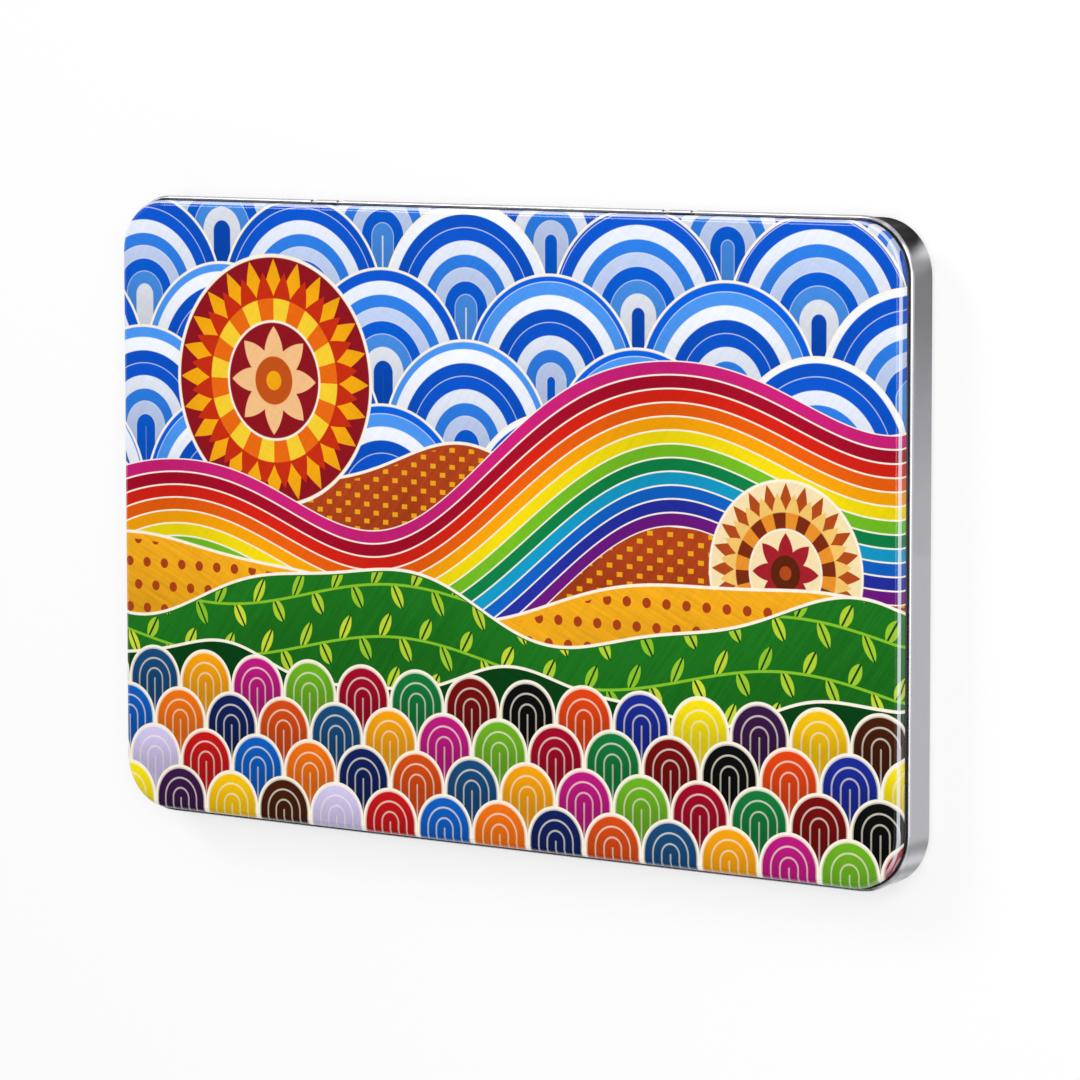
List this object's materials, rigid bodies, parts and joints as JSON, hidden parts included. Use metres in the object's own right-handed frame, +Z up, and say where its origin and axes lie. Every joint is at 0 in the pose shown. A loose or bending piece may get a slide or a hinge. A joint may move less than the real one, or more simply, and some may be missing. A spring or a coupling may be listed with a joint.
{
  "type": "coloured pencil tin",
  "caption": "Flat hinged tinplate box with a printed lid and a grooved inner tray that holds a row of hexagonal coloured pencils.",
  "frame": {"origin": "centre of the underside of the base, on the surface that the tin lies on", "axes": "+X along the hinge (the long side), +Y towards the hinge, +Z up, out of the printed lid"},
  "size_m": [0.287, 0.188, 0.0154],
  "materials": {
    "tinplate": "satin rolled tinplate, lacquered",
    "printed_tinplate": "offset-printed and gloss varnished",
    "wire": "drawn steel wire",
    "tray_plastic": "vacuum-formed white polystyrene",
    "lacquer_white": "gloss lacquer over soft wood",
    "lacquer_lemon": "gloss lacquer over soft wood",
    "lacquer_yellow": "gloss lacquer over soft wood",
    "lacquer_amber": "gloss lacquer over soft wood",
    "lacquer_orange": "gloss lacquer over soft wood",
    "lacquer_vermilion": "gloss lacquer over soft wood",
    "lacquer_red": "gloss lacquer over soft wood",
    "lacquer_crimson": "gloss lacquer over soft wood",
    "lacquer_pink": "gloss lacquer over soft wood",
    "lacquer_magenta": "gloss lacquer over soft wood",
    "lacquer_purple": "gloss lacquer over soft wood",
    "lacquer_violet": "gloss lacquer over soft wood",
    "lacquer_ultramarine": "gloss lacquer over soft wood",
    "lacquer_blue": "gloss lacquer over soft wood",
    "lacquer_sky_blue": "gloss lacquer over soft wood",
    "lacquer_turquoise": "gloss lacquer over soft wood",
    "lacquer_light_green": "gloss lacquer over soft wood",
    "lacquer_green": "gloss lacquer over soft wood",
    "lacquer_dark_green": "gloss lacquer over soft wood",
    "lacquer_ochre": "gloss lacquer over soft wood",
    "lacquer_brown": "gloss lacquer over soft wood",
    "lacquer_dark_brown": "gloss lacquer over soft wood",
    "lacquer_grey": "gloss lacquer over soft wood",
    "lacquer_black": "gloss lacquer over soft wood",
    "core_white": "waxy colour core",
    "core_lemon": "waxy colour core",
    "core_yellow": "waxy colour core",
    "core_amber": "waxy colour core",
    "core_orange": "waxy colour core",
    "core_vermilion": "waxy colour core",
    "core_red": "waxy colour core",
    "core_crimson": "waxy colour core",
    "core_pink": "waxy colour core",
    "core_magenta": "waxy colour core",
    "core_purple": "waxy colour core",
    "core_violet": "waxy colour core",
    "core_ultramarine": "waxy colour core",
    "core_blue": "waxy colour core",
    "core_sky_blue": "waxy colour core",
    "core_turquoise": "waxy colour core",
    "core_light_green": "waxy colour core",
    "core_green": "waxy colour core",
    "core_dark_green": "waxy colour core",
    "core_ochre": "waxy colour core",
    "core_brown": "waxy colour core",
    "core_dark_brown": "waxy colour core",
    "core_grey": "waxy colour core",
    "core_black": "waxy colour core"
  },
  "bodies": {
    "base": {"base_pan": "tinplate", "pencil_tray": "tray_plastic", "casing_white": "lacquer_white", "casing_lemon": "lacquer_lemon", "casing_yellow": "lacquer_yellow", "casing_amber": "lacquer_amber", "casing_orange": "lacquer_orange", "casing_vermilion": "lacquer_vermilion", "casing_red": "lacquer_red", "casing_crimson": "lacquer_crimson", "casing_pink": "lacquer_pink", "casing_magenta": "lacquer_magenta", "casing_purple": "lacquer_purple", "casing_violet": "lacquer_violet", "casing_ultramarine": "lacquer_ultramarine", "casing_blue": "lacquer_blue", "casing_sky_blue": "lacquer_sky_blue", "casing_turquoise": "lacquer_turquoise", "casing_light_green": "lacquer_light_green", "casing_green": "lacquer_green", "casing_dark_green": "lacquer_dark_green", "casing_ochre": "lacquer_ochre", "casing_brown": "lacquer_brown", "casing_dark_brown": "lacquer_dark_brown", "casing_grey": "lacquer_grey", "casing_black": "lacquer_black", "core_white": "core_white", "core_lemon": "core_lemon", "core_yellow": "core_yellow", "core_amber": "core_amber", "core_orange": "core_orange", "core_vermilion": "core_vermilion", "core_red": "core_red", "core_crimson": "core_crimson", "core_pink": "core_pink", "core_magenta": "core_magenta", "core_purple": "core_purple", "core_violet": "core_violet", "core_ultramarine": "core_ultramarine", "core_blue": "core_blue", "core_sky_blue": "core_sky_blue", "core_turquoise": "core_turquoise", "core_light_green": "core_light_green", "core_green": "core_green", "core_dark_green": "core_dark_green", "core_ochre": "core_ochre", "core_brown": "core_brown", "core_dark_brown": "core_dark_brown", "core_grey": "core_grey", "core_black": "core_black"},
    "lid": {"lid": "printed_tinplate", "hinge_wire": "wire"}
  },
  "joints": [
    {"name": "lid_hinge", "type": "hinge", "parent": "base", "child": "lid", "pos_m": [0, 0.0932, 0.0107], "axis": [-1, 0, 0], "range_deg": [0, 180]}
  ]
}
